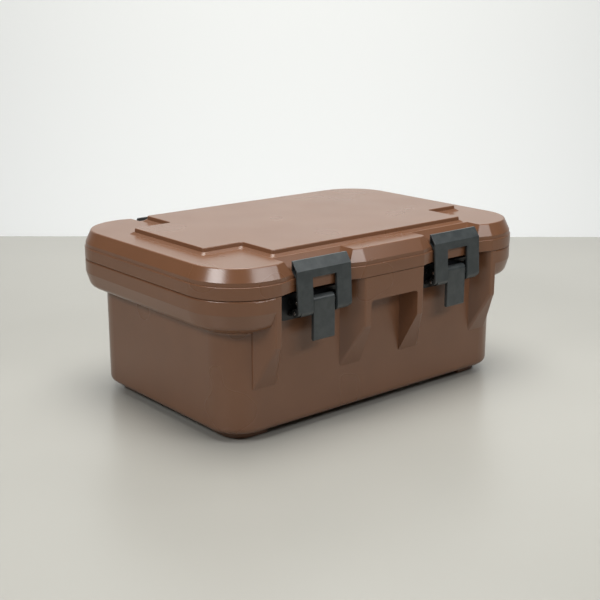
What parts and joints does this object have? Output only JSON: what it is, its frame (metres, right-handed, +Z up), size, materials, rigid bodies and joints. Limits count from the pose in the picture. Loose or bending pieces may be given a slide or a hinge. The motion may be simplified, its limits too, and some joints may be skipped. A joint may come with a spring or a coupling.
{
  "type": "insulated food carrier",
  "caption": "Low insulated box with a foam-filled double wall, a lift-off lid with a raised cross-shaped panel, moulded handles front and rear, and over-centre draw latches.",
  "frame": {"origin": "on the floor under the middle of the carrier", "axes": "+X along the long side, towards the right seen from the front, -Y to the front, +Z up"},
  "size_m": [0.64, 0.4354, 0.2758],
  "materials": {
    "brown_polyethylene": "satin, rotationally moulded",
    "foam": "closed-cell polyurethane foam",
    "grey_nylon": "satin moulded nylon",
    "black_nylon": "matte moulded nylon",
    "stainless_steel": "drawn",
    "blackened_steel": "black oxide screws",
    "brass": "turned"
  },
  "bodies": {
    "body": {"body_shell": "brown_polyethylene", "body_foam_core": "foam", "body_filler_plugs": "brown_polyethylene", "latch_base_front_left": "black_nylon", "lever_pin_front_left": "stainless_steel", "base_screws_front_left": "blackened_steel", "screw_inserts_front_left": "brass", "latch_base_front_right": "black_nylon", "lever_pin_front_right": "stainless_steel", "base_screws_front_right": "blackened_steel", "screw_inserts_front_right": "brass", "latch_base_rear_left": "black_nylon", "lever_pin_rear_left": "stainless_steel", "base_screws_rear_left": "blackened_steel", "screw_inserts_rear_left": "brass", "latch_base_rear_right": "black_nylon", "lever_pin_rear_right": "stainless_steel", "base_screws_rear_right": "blackened_steel", "screw_inserts_rear_right": "brass"},
    "lid": {"lid_shell": "brown_polyethylene", "lid_foam_core": "foam", "lid_filler_plugs": "brown_polyethylene"},
    "lever_front_left": {"latch_lever_front_left": "grey_nylon"},
    "pin_front_left": {"hook_pin_front_left": "stainless_steel"},
    "hook_front_left": {"latch_hook_front_left": "grey_nylon"},
    "lever_front_right": {"latch_lever_front_right": "grey_nylon"},
    "pin_front_right": {"hook_pin_front_right": "stainless_steel"},
    "hook_front_right": {"latch_hook_front_right": "grey_nylon"},
    "lever_rear_left": {"latch_lever_rear_left": "grey_nylon"},
    "pin_rear_left": {"hook_pin_rear_left": "stainless_steel"},
    "hook_rear_left": {"latch_hook_rear_left": "grey_nylon"},
    "lever_rear_right": {"latch_lever_rear_right": "grey_nylon"},
    "pin_rear_right": {"hook_pin_rear_right": "stainless_steel"},
    "hook_rear_right": {"latch_hook_rear_right": "grey_nylon"}
  },
  "joints": [
    {"name": "lid_lift", "type": "slide", "parent": "body", "child": "lid", "axis": [0, 0, 1], "range_m": [0, 0.1]},
    {"name": "lever_swing_front_left", "type": "hinge", "parent": "body", "child": "lever_front_left", "pos_m": [-0.14, -0.2078, 0.204], "axis": [-1, 0, 0], "range_deg": [0, 120]},
    {"name": "pin_turn_front_left", "type": "hinge", "parent": "lever_front_left", "child": "pin_front_left", "pos_m": [-0.14, -0.20328, 0.18824], "axis": [-1, 0, 0], "range_deg": [-96, 0]},
    {"name": "hook_swing_front_left", "type": "hinge", "parent": "pin_front_left", "child": "hook_front_left", "pos_m": [-0.14, -0.20328, 0.18824], "axis": [1, 0, 0], "range_deg": [0, 120]},
    {"name": "lever_swing_front_right", "type": "hinge", "parent": "body", "child": "lever_front_right", "pos_m": [0.14, -0.2078, 0.204], "axis": [-1, 0, 0], "range_deg": [0, 120]},
    {"name": "pin_turn_front_right", "type": "hinge", "parent": "lever_front_right", "child": "pin_front_right", "pos_m": [0.14, -0.20328, 0.18824], "axis": [-1, 0, 0], "range_deg": [-96, 0]},
    {"name": "hook_swing_front_right", "type": "hinge", "parent": "pin_front_right", "child": "hook_front_right", "pos_m": [0.14, -0.20328, 0.18824], "axis": [1, 0, 0], "range_deg": [0, 120]},
    {"name": "lever_swing_rear_left", "type": "hinge", "parent": "body", "child": "lever_rear_left", "pos_m": [-0.14, 0.2078, 0.204], "axis": [1, 0, 0], "range_deg": [0, 120]},
    {"name": "pin_turn_rear_left", "type": "hinge", "parent": "lever_rear_left", "child": "pin_rear_left", "pos_m": [-0.14, 0.20328, 0.18824], "axis": [1, 0, 0], "range_deg": [-96, 0]},
    {"name": "hook_swing_rear_left", "type": "hinge", "parent": "pin_rear_left", "child": "hook_rear_left", "pos_m": [-0.14, 0.20328, 0.18824], "axis": [-1, 0, 0], "range_deg": [0, 120]},
    {"name": "lever_swing_rear_right", "type": "hinge", "parent": "body", "child": "lever_rear_right", "pos_m": [0.14, 0.2078, 0.204], "axis": [1, 0, 0], "range_deg": [0, 120]},
    {"name": "pin_turn_rear_right", "type": "hinge", "parent": "lever_rear_right", "child": "pin_rear_right", "pos_m": [0.14, 0.20328, 0.18824], "axis": [1, 0, 0], "range_deg": [-96, 0]},
    {"name": "hook_swing_rear_right", "type": "hinge", "parent": "pin_rear_right", "child": "hook_rear_right", "pos_m": [0.14, 0.20328, 0.18824], "axis": [-1, 0, 0], "range_deg": [0, 120]}
  ],
  "couplings": [
    {"joint": "pin_turn_front_left", "follows": "lever_swing_front_left", "ratio": -0.8},
    {"joint": "hook_swing_front_left", "follows": "lid_lift", "rad_per_m": 20.94},
    {"joint": "pin_turn_front_right", "follows": "lever_swing_front_right", "ratio": -0.8},
    {"joint": "hook_swing_front_right", "follows": "lid_lift", "rad_per_m": 20.94},
    {"joint": "pin_turn_rear_left", "follows": "lever_swing_rear_left", "ratio": -0.8},
    {"joint": "hook_swing_rear_left", "follows": "lid_lift", "rad_per_m": 20.94},
    {"joint": "pin_turn_rear_right", "follows": "lever_swing_rear_right", "ratio": -0.8},
    {"joint": "hook_swing_rear_right", "follows": "lid_lift", "rad_per_m": 20.94}
  ]
}
